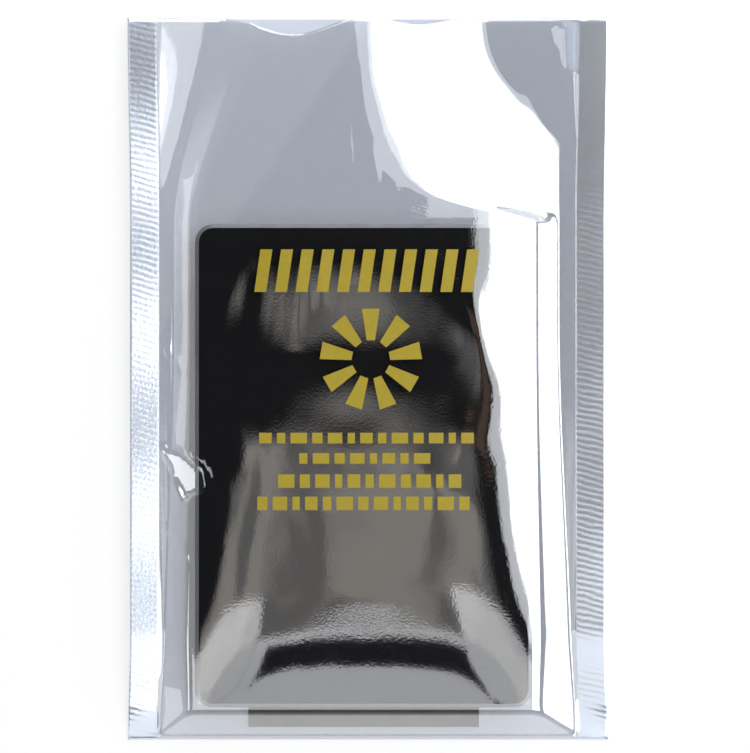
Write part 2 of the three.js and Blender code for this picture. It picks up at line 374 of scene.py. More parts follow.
    def curl(self, x: np.ndarray, y: np.ndarray, lines: list[np.ndarray]) -> np.ndarray:
        """How far a sealed land has curled up: share of its width * (lift + a sine up the bag).

        Args:
            x: Across the bag.
            y: Up the bag.
            lines: The eight lines at those y.

        Returns:
            The height to add, 0 between the seals.
        """
        beyond = np.maximum(np.maximum(lines[1] - x, x - lines[6]), 0.0) / self.seal_width
        wave = self.seal_wave * np.sin(2.0 * np.pi * y / self.seal_wave_length)
        lift = mix(self.seal_curl, self.mouth_seal_curl, smooth(self.mouth_share(y)))
        return beyond * (lift + wave) * self.end_share(y)

    def back(self, x: np.ndarray, y: np.ndarray) -> np.ndarray:
        """Outer face of the back film: flat on the table, then up to the seals and the fold.

        It rises to each seal by share^power, from the shoulder line, and evenly to the fold.

        Args:
            x: Across the bag.
            y: Up the bag.

        Returns:
            The height.
        """
        lines = self.lines(y)
        toward_mouth = smooth(self.mouth_share(y))
        flat_right = np.maximum(lines[4], mix(self.drive_right, self.mouth_flat_right, toward_mouth))
        left = (lines[3] - x) / (lines[3] - lines[1])
        right = (x - flat_right) / (lines[6] - flat_right)
        risen = np.clip(np.maximum(left, right), 0.0, 1.0) ** self.back_rise
        side = (self.seal_height(y) - self.gauge) * risen
        end = (self.fold_level - self.gauge) * (1.0 - self.end_share(y))
        return np.maximum(side, end) + self.curl(x, y, lines)

    def front_form(self, x: np.ndarray, y: np.ndarray) -> np.ndarray:
        """Outer face of the front film, without its creases and dents.

        From the shoulder lines and the drive's lower end it falls to the foot lines, straight and
        then rounded over, from the foot lines it sags up to the seals, and outside them it is sealed.

        Args:
            x: Across the bag.
            y: Up the bag.

        Returns:
            The height.
        """
        lines = self.lines(y)
        _, left_seal, left_foot, left_shoulder, right_shoulder, right_foot, right_seal, _ = lines
        sealed = self.seal_height(y) + self.gauge
        share = self.mouth_share(y)
        near_end = np.clip(self.gap_rate * self.end_share(y), 0.0, 1.0)
        dip = mix(self.foot_dip * near_end, self.mouth_foot_dip, smooth(share))
        on_left = x < (left_shoulder + right_shoulder) / 2.0
        foot_x = np.where(on_left, left_foot, right_foot)
        clear_of_back = self.back(foot_x, y) + 2.0 * self.gauge + self.pocket_gap * near_end
        foot = np.maximum(sealed - dip, clear_of_back)
        seal_x = np.where(on_left, left_seal, right_seal)
        shoulder_x = np.where(on_left, left_shoulder, right_shoulder)
        toward_seal = np.clip((x - foot_x) / (seal_x - foot_x), 0.0, 1.0)
        strip = mix(foot, sealed, toward_seal**self.strip_sag)
        inward = np.clip((x - foot_x) / (shoulder_x - foot_x), 0.0, 1.0)
        rise = shoulder(soft_least(inward, self.end_share(y), self.corner_rounding), self.rounding)
        hung = mix(foot, self.crown(x, y), rise)
        inside = np.where((x - foot_x) * np.where(on_left, 1.0, -1.0) < 0.0, strip, hung)
        in_seal = (x <= left_seal) | (x >= right_seal)
        return np.where(in_seal, sealed + self.curl(x, y, lines), inside)

    def front(self, x: np.ndarray, y: np.ndarray) -> np.ndarray:
        """Outer face of the front film, with its creases, dents and facets.

        Args:
            x: Across the bag.
            y: Up the bag.

        Returns:
            The height.
        """
        lines = self.lines(y)
        clear = np.minimum(x - lines[1], lines[6] - x)
        free = smooth(clear / self.free_margin) * smooth(self.end_share(y) / self.free_end_share)
        height = self.front_form(x, y)
        height = height + free * sum(mark.height(x, y) for mark in self.creases + self.dents)
        for facet in self.facets:
            height = facet.pressed(x, y, height)
        return height

    def lip_recess(self, x: np.ndarray, y: np.ndarray) -> np.ndarray:
        """How far the front film has drawn back from the mouth where it gapes."""
        drawn = sum(lobe.recess * bump((x - lobe.centre) / lobe.reach) for lobe in self.lobes)
        return drawn * self.mouth_share(y) ** 2

    def thickness(self, surface: Surface, x: np.ndarray, y: np.ndarray) -> np.ndarray:
        """The upright distance through the film: gauge * sqrt(1 + slope^2), from central differences.

        Args:
            surface: The film's outer face.
            x: Across the bag.
            y: Up the bag.

        Returns:
            The distance.
        """
        step = 0.1
        slope_x = (surface(x + step, y) - surface(x - step, y)) / (2.0 * step)
        slope_y = (surface(x, y + step) - surface(x, y - step)) / (2.0 * step)
        return self.gauge * np.sqrt(1.0 + slope_x**2 + slope_y**2)


def build_mesh(
    name: str,
    points: np.ndarray,
    faces: list[list[int]],
    slots: np.ndarray | None = None,
) -> bpy.types.Object:
    """Makes a smooth-shaded mesh object at the origin.

    Args:
        name: The piece's name.
        points: One row of x, y and z for each point, in millimetres.
        faces: Lists of point numbers.
        slots: The material slot of each face, if there is more than one.

    Returns:
        The object, linked to the scene.
    """
    mesh = bpy.data.meshes.new(name)
    mesh.from_pydata((points * MM).tolist(), [], faces)
    if slots is not None:
        mesh.polygons.foreach_set("material_index", slots.astype(np.int32))
    mesh.polygons.foreach_set("use_smooth", np.ones(len(mesh.polygons), bool))
    mesh.validate()
    mesh.update()
    piece = bpy.data.objects.new(name, mesh)
    bpy.context.scene.collection.objects.link(piece)
    return piece


class Nodes:
    """A small helper that lays out shader nodes and links them."""

    def __init__(self, name: str) -> None:
        """Starts an empty node material."""
        self.material = bpy.data.materials.new(name)
        self.material.use_nodes = True
        self.tree = self.material.node_tree
        self.tree.nodes.clear()

    def add(self, kind: str, inputs: dict | None = None, **settings: object) -> bpy.types.Node:
        """Adds a node, sets its properties, and sets or links its inputs.

        Args:
            kind: The node's type name without the ShaderNode in front.
            inputs: Input name or number to a value or to an output socket.
            settings: Properties of the node.

        Returns:
            The node.
        """
        node = self.tree.nodes.new("ShaderNode" + kind)
        for key, value in settings.items():
            setattr(node, key, value)
        for key, value in (inputs or {}).items():
            if isinstance(value, bpy.types.NodeSocket):
                self.tree.links.new(value, node.inputs[key])
            else:
                node.inputs[key].default_value = value
        return node

    def output(self, surface: bpy.types.NodeSocket) -> bpy.types.Material:
        """Links the surface to the material's output."""
        self.add("OutputMaterial", {"Surface": surface})
        return self.material

    def coordinates(
        self,
        scale: Triple = (1.0, 1.0, 1.0),
        turn_deg: float = 0.0,
        shift: Pair = (0.0, 0.0),
    ) -> bpy.types.NodeSocket:
        """Object coordinates.

        Args:
            scale: The factor along each axis.
            turn_deg: The turn about Z.
            shift: How far they are moved in x and y, in metres.

        Returns:
            The coordinates.
        """
        place = self.add("TexCoord").outputs["Object"]
        mapping = self.add(
            "Mapping",
            {
                "Vector": place,
                "Scale": scale,
                "Rotation": (0.0, 0.0, math.radians(turn_deg)),
                "Location": (*shift, 0.0),
            },
        )
        return mapping.outputs["Vector"]

    def step(self, value: bpy.types.NodeSocket, span: Pair, ends: Pair) -> bpy.types.NodeSocket:
        """A smooth step between two numbers.

        Args:
            value: What drives the step.
            span: Where the step starts and where it ends.
            ends: The numbers before and after it.

        Returns:
            The stepped number.
        """
        inputs = {"Value": value, "From Min": span[0], "From Max": span[1]}
        inputs |= {"To Min": ends[0], "To Max": ends[1]}
        return self.add("MapRange", inputs, interpolation_type="SMOOTHSTEP").outputs["Result"]

    def ramp(self, axis: str, span: Pair, ends: Pair) -> bpy.types.NodeSocket:
        """A smooth step between two numbers over a span of one object coordinate, in metres."""
        return self.step(self.add("SeparateXYZ", {0: self.coordinates()}).outputs[axis], span, ends)

    def blend(self, share: bpy.types.NodeSocket, low: Triple, high: Triple) -> bpy.types.NodeSocket:
        """A colour between two, by a share."""
        return self.add("Mix", {0: share, 6: (*low, 1.0), 7: (*high, 1.0)}, data_type="RGBA").outputs[2]


@dataclass(frozen=True)
class FilmFinish:
    """Metallised film that can be seen through: a thin mirror on a clear base."""

    name: str = "metallised_film"
    colour: Triple = (0.86, 0.87, 0.89)
    metallic: float = 1.0
    roughness: float = 0.02
    alpha: float = 0.2
    grain: float = 0.0022
    grain_scale: float = 2100.0
    grain_span: Pair = (-0.062, -0.042)
    streak: float = 0.0
    streak_scale: float = 130.0
    streak_stretch: float = 0.45
    streak_span: Pair = (-0.046, -0.02)
    tight_share: float = 0.3
    # painted shade in the pocket: how much denser the alpha grows there, and along which slanted line
    pocket_shade: float = 0.0
    pocket_shade_slant: Pair = (0.83, -0.56)
    pocket_shade_span: Pair = (-0.043, -0.0405)

    def material(self) -> bpy.types.Material:
        """Builds the film's material: fine dimples, and longer streaks that run up the bag.

        Both fade towards the fold, where the film is drawn tight over the drive's lower end.

        Returns:
            The material.
        """
        nodes = Nodes(self.name)
        long_way = nodes.coordinates((1.0, self.streak_stretch, 1.0))
        streaks = nodes.add(
            "TexNoise",
            {"Vector": long_way, "Scale": self.streak_scale, "Detail": 1.5, "Roughness": 0.5},
        )
        broad = nodes.add(
            "Bump",
            {
                "Height": streaks.outputs["Fac"],
                "Strength": nodes.ramp("Y", self.streak_span, (self.tight_share, 1.0)),
                "Distance": self.streak * MM,
            },
        )
        grain = nodes.add(
            "TexNoise",
            {"Vector": nodes.coordinates(), "Scale": self.grain_scale, "Detail": 1.0},
        )
        relief = nodes.add(
            "Bump",
            {
                "Height": grain.outputs["Fac"],
                "Strength": nodes.ramp("Y", self.grain_span, (self.tight_share, 1.0)),
                "Distance": self.grain * MM,
                "Normal": broad.outputs["Normal"],
            },
        )
        shader = nodes.add(
            "BsdfPrincipled",
            {
                "Base Color": (*self.colour, 1.0),
                "Metallic": self.metallic,
                "Roughness": self.roughness,
                "Alpha": self.alpha,
                "Specular IOR Level": 0.5,
                "Normal": relief.outputs["Normal"],
            },
        )
        # a denser alpha that darkens part of the pocket, as painted shade
        if self.pocket_shade > 0.0:
            nodes.tree.links.new(self.pocket_shade_alpha(nodes), shader.inputs["Alpha"])
        return nodes.output(shader.outputs["BSDF"])

    def pocket_shade_alpha(self, nodes: Nodes) -> bpy.types.NodeSocket:
        """An alpha that is denser right of a slanted line in the pocket: painted shade where the front film
        lies closer over the back film.

        The share is a smooth step of slant x * x + slant y * y, which is level along the line.

        Args:
            nodes: The material's nodes.

        Returns:
            The alpha.
        """
        place = nodes.add("SeparateXYZ", {0: nodes.coordinates()})
        slant_x, slant_y = self.pocket_shade_slant
        up = nodes.add("Math", {0: place.outputs["Y"], 1: slant_y}, operation="MULTIPLY")
        across = nodes.add(
            "Math",
            {0: place.outputs["X"], 1: slant_x, 2: up.outputs[0]},
            operation="MULTIPLY_ADD",
        )
        return nodes.step(across.outputs[0], self.pocket_shade_span, (self.alpha, self.alpha + self.pocket_shade))


@dataclass(frozen=True)
class SealFinish:
    """The heat seals: the same film, fused and pressed between knurled jaws."""

    name: str = "embossed_seal"
    colour: Triple = (0.76, 0.83, 0.95)
    roughness: float = 0.16
    alpha: float = 0.52
    emboss: float = 0.028
    mottle_scale: float = 1700.0
    ripple_scale: float = 260.0
    ripple_turn_deg: float = 14.0
    ripple_share: float = 0.5

    def material(self) -> bpy.types.Material:
        """Builds the seal's material, with fine mottling and faint slanted ripples as relief.

        Returns:
            The material.
        """
        nodes = Nodes(self.name)
        mottle = nodes.add(
            "TexNoise",
            {"Vector": nodes.coordinates(), "Scale": self.mottle_scale, "Detail": 2.0},
        )
        slanted = nodes.coordinates(turn_deg=self.ripple_turn_deg)
        ripple = nodes.add(
            "TexWave",
            {"Vector": slanted, "Scale": self.ripple_scale, "Distortion": 2.4, "Detail": 1.0},
            bands_direction="Y",
        )
        both = nodes.add("Mix", {0: self.ripple_share, 2: mottle.outputs["Fac"], 3: ripple.outputs["Fac"]})
        relief = nodes.add(
            "Bump",
            {"Height": both.outputs[0], "Strength": 1.0, "Distance": self.emboss * MM},
        )
        shader = nodes.add(
            "BsdfPrincipled",
            {
                "Base Color": (*self.colour, 1.0),
                "Metallic": 1.0,
                "Roughness": self.roughness,
                "Alpha": self.alpha,
                "Normal": relief.outputs["Normal"],
            },
        )
        return nodes.output(shader.outputs["BSDF"])


@dataclass(frozen=True)
class SolidFinish:
    """An opaque finish with slight mottling of its colour."""

    name: str
    colour: Triple
    roughness: float
    metallic: float = 0.0
    specular: float = 0.5
    mottle: float = 0.15
    mottle_scale: float = 300.0

    def material(self) -> bpy.types.Material:
        """Builds the finish.

        Returns:
            The material.
        """
        nodes = Nodes(self.name)
        noise = nodes.add(
            "TexNoise",
            {"Vector": nodes.coordinates(), "Scale": self.mottle_scale, "Detail": 4.0},
        )
        low = tuple(c * (1.0 - self.mottle) for c in self.colour)
        high = tuple(c * (1.0 + self.mottle) for c in self.colour)
        shader = nodes.add(
            "BsdfPrincipled",
            {
                "Base Color": nodes.blend(noise.outputs["Fac"], low, high),
                "Metallic": self.metallic,
                "Roughness": self.roughness,
                "Specular IOR Level": self.specular,
            },
        )
        return nodes.output(shader.outputs["BSDF"])


@dataclass
class ShieldingBag:
    """The bag's skin: outer faces, the pocket between them, and the cut edges, as one closed mesh."""

    form: FilmForm
    front_finish: FilmFinish
    back_finish: FilmFinish
    seal_finish: SealFinish = field(default_factory=SealFinish)
    seal_columns: int = 12
    strip_columns: int = 12
    flank_columns: int = 12
    crown_columns: int = 54
    end_rows: int = 12
    drive_rows: int = 138
    pocket_rows: int = 54

    def columns(self) -> tuple[np.ndarray, np.ndarray]:
        """The places of the columns between the eight lines.

        Returns:
            The line that each column starts from, and its share of the way to the next line.
        """
        counts = [
            self.seal_columns,
            self.strip_columns,
            self.flank_columns,
            self.crown_columns,
            self.flank_columns,
            self.strip_columns,
            self.seal_columns,
        ]
        line = np.concatenate([np.full(n, i) for i, n in enumerate(counts)] + [[6]])
        share = np.concatenate([np.arange(n) / n for n in counts] + [[1.0]])
        return line, share

    def rows(self) -> np.ndarray:
        """The rows up the bag: the fold, the fold line, and evenly on to the mouth.

        Returns:
            The y of each row.
        """
        form = self.form
        return np.concatenate(
            [
                [-form.half_length],
                np.linspace(form.fold_line, form.drive_end, self.end_rows, endpoint=False),
                np.linspace(form.drive_end, form.drive_top, self.drive_rows, endpoint=False),
                np.linspace(form.drive_top, form.half_length, self.pocket_rows + 1),
            ]
        )

    def build(self) -> bpy.types.Object:
        """Builds the skin, its faces sorted into front film, back film and seals.

        Returns:
            The piece.
        """
        form = self.form
        line, share = self.columns()
        y = self.rows()[:, None]
        lines = np.stack(np.broadcast_arrays(*form.lines(y)), axis=-1)[:, 0, :]
        x = mix(lines[:, line], lines[:, line + 1], share[None, :])
        y = np.broadcast_to(y, x.shape)
        lip_y = y - form.lip_recess(x, y)
        front, back = form.front(x, y), form.back(x, y)
        count_rows, count_columns = x.shape
        row, column = np.indices(x.shape)
        left, right = self.seal_columns, count_columns - 1 - self.seal_columns
        is_open = (row > 1) & (column > left) & (column < right)
        meets = (row > 0) & (column >= left) & (column <= right) & ~is_open
        front_inner = front - form.thickness(form.front, x, y)
        back_inner = back + form.thickness(form.back, x, y)
        layers = [
            np.stack([x, lip_y, front], -1).reshape(-1, 3),
            np.stack([x, y, back], -1).reshape(-1, 3),
            np.stack([x, lip_y, front_inner], -1)[is_open],
            np.stack([x, y, back_inner], -1)[is_open],
            np.stack([x, y, (front + back) / 2.0], -1)[meets],
        ]
        total = x.size
        number = np.arange(total).reshape(x.shape)
        opened, met = int(is_open.sum()), int(meets.sum())
        inner_front = np.full(x.shape, -1)
        inner_front[is_open] = 2 * total + np.arange(opened)
        inner_back = inner_front.copy()
        inner_back[is_open] += opened
        shared = 2 * total + 2 * opened + np.arange(met)
        inner_front[meets] = shared
        inner_back[meets] = shared
        faces, slots = self.faces(number, number + total, inner_front, inner_back, left, right)
        piece = build_mesh("shielding_film", np.concatenate(layers), faces, slots)
        for finish in (self.front_finish, self.back_finish, self.seal_finish):
            piece.data.materials.append(finish.material())
        log.info("film: %d x %d grid, %d faces", count_rows, count_columns, len(faces))
        return piece

    @staticmethod
    def cells(sheet: np.ndarray, up: bool) -> np.ndarray:
        """The four corners of every cell of a sheet, anticlockwise from above if it faces up."""
        loop = np.stack([sheet[:-1, :-1], sheet[:-1, 1:], sheet[1:, 1:], sheet[1:, :-1]], -1)
        return loop if up else loop[..., ::-1]

    def faces(
        self,
        front: np.ndarray,
        back: np.ndarray,
        inner_front: np.ndarray,
        inner_back: np.ndarray,
        left: int,
        right: int,
    ) -> tuple[list, np.ndarray]:
        """Joins the four sheets along the edges, the seals, the fold and the mouth's lips.

        Args:
            front: Point numbers of the front film's outer face, by row and column.
            back: The same of the back film's outer face.
            inner_front: The same of the front film's inner face, -1 where there is none.
            inner_back: The same of the back film's inner face.
            left: The left seal line's column.
            right: The right seal line's column.

        Returns:
            The faces, and the material slot of each: 0 front film, 1 back film, 2 seal.
        """
        film, backing, seal = 0, 1, 2
        groups: list[tuple[np.ndarray, np.ndarray]] = []

        def take(quads: np.ndarray, slot: np.ndarray | int) -> None:
            """Keeps a group of faces with the slot of each."""
            flat = quads.reshape(-1, 4)
            groups.append((flat, np.broadcast_to(slot, quads.shape[:-1]).reshape(-1)))

        cell_column = np.arange(front.shape[1] - 1)
        sealed = (cell_column < left) | (cell_column >= right)
        grid = (front.shape[0] - 1, len(cell_column))
        take(self.cells(front, True), np.broadcast_to(np.where(sealed, seal, film), grid))
        take(self.cells(back, False), np.broadcast_to(np.where(sealed, seal, backing), grid))
        pocket = (slice(1, None), slice(left, right + 1))
        take(self.cells(inner_front[pocket], False), film)
        take(self.cells(inner_back[pocket], True), backing)
        take(np.stack([back[:-1, 0], front[:-1, 0], front[1:, 0], back[1:, 0]], -1), seal)
        take(np.stack([back[1:, -1], front[1:, -1], front[:-1, -1], back[:-1, -1]], -1), seal)
        take(np.stack([back[0, :-1], back[0, 1:], front[0, 1:], front[0, :-1]], -1), film)
        lips = slice(left, right + 1)
        f, fi, b, bi = front[-1, lips], inner_front[-1, lips], back[-1, lips], inner_back[-1, lips]
        take(np.stack([f[:-1], f[1:], fi[1:], fi[:-1]], -1), film)
        take(np.stack([bi[:-1], bi[1:], b[1:], b[:-1]], -1), backing)
        ends = np.r_[0 : left - 1, right + 1 : len(cell_column)]
        take(np.stack([front[-1, ends], front[-1, ends + 1], back[-1, ends + 1], back[-1, ends]], -1), seal)
        faces = np.concatenate([g for g, _ in groups]).tolist()
        slots = np.concatenate([s for _, s in groups])
        f, fi, b = front[-1], inner_front[-1], back[-1]
        faces.append([f[left - 1], f[left], fi[left], b[left], b[left - 1]])
        faces.append([f[right], f[right + 1], b[right + 1], b[right], fi[right]])
        return [[int(i) for i in f] for f in faces], np.concatenate([slots, [seal, seal]])


@dataclass(frozen=True)
class InkFinish:
    """Yellow ink under the film's own gloss."""

    name: str = "yellow_ink"
    colour: Triple = (0.34, 0.26, 0.02)
    roughness: float = 0.4
    alpha: float = 0.9
    thin_share: float = 0.8
    mottle_scale: float = 700.0

    def material(self) -> bpy.types.Material:
        """Builds the ink, slightly uneven where it was laid down thinly.

        Returns:
            The material.
        """
        nodes = Nodes(self.name)
        noise = nodes.add(
            "TexNoise",
            {"Vector": nodes.coordinates(), "Scale": self.mottle_scale, "Detail": 3.0},
        )
        thin = tuple(c * self.thin_share for c in self.colour)
        shader = nodes.add(
            "BsdfPrincipled",
            {
                "Base Color": nodes.blend(noise.outputs["Fac"], thin, self.colour),
                "Roughness": self.roughness,
                "Specular IOR Level": 0.25,
                "Alpha": self.alpha,
            },
        )
        return nodes.output(shader.outputs["BSDF"])


@dataclass(frozen=True)
class Patch:
    """One four-cornered field of ink, its corners anticlockwise, in millimetres."""

    corners: tuple[Pair, ...]

    @classmethod
    def bar(cls, left: float, right: float, low: float, high: float, slant: float = 0.0) -> "Patch":
        """An upright or slanted bar; the slant moves its top edge to the right."""
        return cls(((left, low), (right, low), (right + slant, high), (left + slant, high)))


@dataclass
class PrintedField:
    """The print on the front film: a band of slanted bars, a ring of petals, and rows of dashes."""

    form: FilmForm
    lift: float = 0.03
    film: float = 0.025
    step: float = 1.0
    band: tuple[float, float, float, float] = (-23.5, 23.5, 18.1, 26.9)
    band_bars: int = 11
    bar_share: float = 0.58
    bar_lean: float = 0.3
    ring_centre: Pair = (0.6, 4.2)
    ring_radii: Pair = (4.0, 10.6)
    ring_petals: int = 9
    ring_turn: float = 0.25
    petal_share: float = 0.62
    petal_taper: float = 0.8
    rows: tuple[tuple[float, float, float, float], ...] = (
        (-22.5, 22.5, -13.6, -10.6),
        (-14.2, 14.4, -17.8, -14.8),
        (-18.6, 19.4, -22.8, -19.2),
        (-22.9, 22.9, -27.4, -23.8),
    )
    dash_lengths: tuple[float, ...] = (2.6, 1.7, 3.4, 2.1, 3.0, 1.5)
    dash_gap: float = 1.1
    dash_margin: float = 0.4
    least_dash: float = 0.8

    def band_patches(self) -> list[Patch]:
        """The heading: equal bars that lean to the right.

        Returns:
            The bars.
        """
        left, right, low, high = self.band
        pitch = (right - left) / self.band_bars
        lean = self.bar_lean * pitch
        return [
            Patch.bar(left + i * pitch, left + (i + self.bar_share) * pitch, low, high, lean)
            for i in range(self.band_bars)
        ]

    def ring_patches(self) -> list[Patch]:
        """The middle: straight-sided petals round an open centre.

        Returns:
            The petals.
        """
        patches = []
        inner, outer = self.ring_radii
        for i in range(self.ring_petals):
            turn = 2.0 * math.pi * (i + self.ring_turn) / self.ring_petals
            half = self.petal_share * math.pi / self.ring_petals
            tip = half * self.petal_taper
            corners = [(inner, turn - half), (outer, turn - tip), (outer, turn + tip), (inner, turn + half)]
            x, y = self.ring_centre
            patches.append(Patch(tuple((x + r * math.cos(a), y + r * math.sin(a)) for r, a in corners)))
        return patches

    def row_patches(self) -> list[Patch]:
        """The lower rows: dashes of differing lengths, row by row.

        Returns:
            The dashes.
        """
        patches = []
        for number, (left, right, low, high) in enumerate(self.rows):
            start, index = left, number
            while start < right - self.least_dash:
                end = min(start + self.dash_lengths[index % len(self.dash_lengths)], right)
                patches.append(Patch.bar(start, end, low + self.dash_margin, high - self.dash_margin))
                start = end + self.dash_gap
                index += 1
        return patches

    def sheet(self, patch: Patch) -> tuple[np.ndarray, list[list[int]]]:
        """One patch as a thin closed sheet draped on the film.

        Each corner-to-corner edge is split into steps no longer than the step length, so that the
        ink follows the film: point = bilinear blend of the corners, height = film + lift.

        Args:
            patch: The patch.

        Returns:
            Its points, and its faces as lists of point numbers.
        """
        a, b, c, d = (np.array(corner) for corner in patch.corners)
        across = max(int(math.ceil(np.linalg.norm(b - a) / self.step)), 1)
        up = max(int(math.ceil(np.linalg.norm(d - a) / self.step)), 1)
        u, v = np.meshgrid(np.linspace(0.0, 1.0, across + 1), np.linspace(0.0, 1.0, up + 1))
        u, v = u[..., None], v[..., None]
        flat = (a * (1.0 - u) + b * u) * (1.0 - v) + (d * (1.0 - u) + c * u) * v
        x, y = flat[..., 0], flat[..., 1]
        low = self.form.front(x, y) + self.lift
        top = np.stack([x, y, low + self.film], -1).reshape(-1, 3)
        under = np.stack([x, y, low], -1).reshape(-1, 3)
        n = np.arange(x.size).reshape(x.shape)
        m = n + x.size
        faces = [ShieldingBag.cells(n, True).reshape(-1, 4), ShieldingBag.cells(m, False).reshape(-1, 4)]
        for rim in (np.s_[0], np.s_[:, -1], np.s_[-1, ::-1], np.s_[::-1, 0]):
            upper, lower = n[rim], m[rim]
            faces.append(np.stack([lower[:-1], lower[1:], upper[1:], upper[:-1]], -1))
        return np.concatenate([top, under]), np.concatenate(faces).tolist()

    def build(self) -> bpy.types.Object:
        """Builds every patch as one piece.

        Returns:
            The piece.
        """
        points, faces, count = [], [], 0
        for patch in self.band_patches() + self.ring_patches() + self.row_patches():
            sheet, quads = self.sheet(patch)
            points.append(sheet)
            faces += [[i + count for i in quad] for quad in quads]
            count += len(sheet)
        piece = build_mesh("printed_ink", np.concatenate(points), faces)
        piece.data.polygons.foreach_set("use_smooth", np.zeros(len(faces), bool))
        piece.data.materials.append(InkFinish().material())
        log.info("print: %d faces", len(faces))
        return piece


@dataclass(frozen=True)
class Softbox:
    """A rectangular soft light: its middle, the point it faces, its size, and its brightness."""

    name: str
    centre: Triple
    facing: Triple
    size: Pair
    radiance: float
    colour: Triple = (1.0, 1.0, 1.0)

    def place(self) -> bpy.types.Object:
        """Adds the light. Its power is radiance * pi * area, so that a mirror shows the radiance.

        Returns:
            The light's object.
        """
        light = bpy.data.lights.new(self.name, "AREA")
        light.shape = "RECTANGLE"
        light.size, light.size_y = self.size
        light.energy = self.radiance * math.pi * self.size[0] * self.size[1]
        light.color = self.colour
        lamp = bpy.data.objects.new(self.name, light)
        lamp.location = self.centre
        direction = Vector(self.facing) - Vector(self.centre)
        lamp.rotation_euler = direction.to_track_quat("-Z", "Y").to_euler()
        lamp.visible_camera = False
        bpy.context.scene.collection.objects.link(lamp)
        return lamp


def overhead(
    name: str,
    x: Pair,
    y: Pair,
    radiance: float,
    colour: Triple = (1.0, 1.0, 1.0),
    height: float = 1.1,
) -> Softbox:
    """A level panel above the bag that covers a range of x and of y, in metres."""
    middle = ((x[0] + x[1]) / 2.0, (y[0] + y[1]) / 2.0)
    return Softbox(name, (*middle, height), (*middle, 0.0), (x[1] - x[0], y[1] - y[0]), radiance, colour)


@dataclass(frozen=True)
class BlotchyCard:
    """A level reflector with soft edges and warm blotches, over the bag's lower half.

    Its brightness is dim + (bright - dim) * blotch, times a smooth step in from each side and from
    its far edge.
    """

    x: Pair = (-0.175, 0.135)
    y: Pair = (-0.158, -0.004)
    height: float = 1.1
    edge: Pair = (0.022, 0.045)
    dim: float = 0.28
    bright: float = 0.62
    scale: float = 27.0
    stretch: float = 0.7
    shift: Pair = (0.23, -0.07)
    contrast: Pair = (0.41, 0.62)
    pale: Triple = (0.96, 0.97, 1.0)
    tan: Triple = (1.0, 0.88, 0.72)

    def place(self) -> bpy.types.Object:
        """Adds the card as a glowing plane that faces down.

        Returns:
            The card.
        """
        (x0, x1), (y0, y1) = self.x, self.y
        corners = np.array([(x0, y0), (x0, y1), (x1, y1), (x1, y0)])
        points = np.column_stack([corners, np.full(4, self.height)]) / MM
        piece = build_mesh("blotchy_card", points, [[0, 1, 2, 3]])
        nodes = Nodes("blotchy_card")
        place = nodes.coordinates((1.0, self.stretch, 1.0), shift=self.shift)
        blotch = nodes.add(
            "TexNoise",
            {"Vector": place, "Scale": self.scale, "Detail": 2.0, "Roughness": 0.45},
        ).outputs["Fac"]
        strength = nodes.step(blotch, self.contrast, (self.dim, self.bright))
        side, far = self.edge
        for axis, span in (("X", (x0, x0 + side)), ("X", (x1, x1 - side)), ("Y", (y1, y1 - far))):
            inward = nodes.ramp(axis, span, (0.0, 1.0))
            strength = nodes.add("Math", {0: strength, 1: inward}, operation="MULTIPLY").outputs[0]
        tint = nodes.blend(blotch, self.pale, self.tan)
        glow = nodes.add("Emission", {"Color": tint, "Strength": strength})
        piece.data.materials.append(nodes.output(glow.outputs[0]))
        return piece


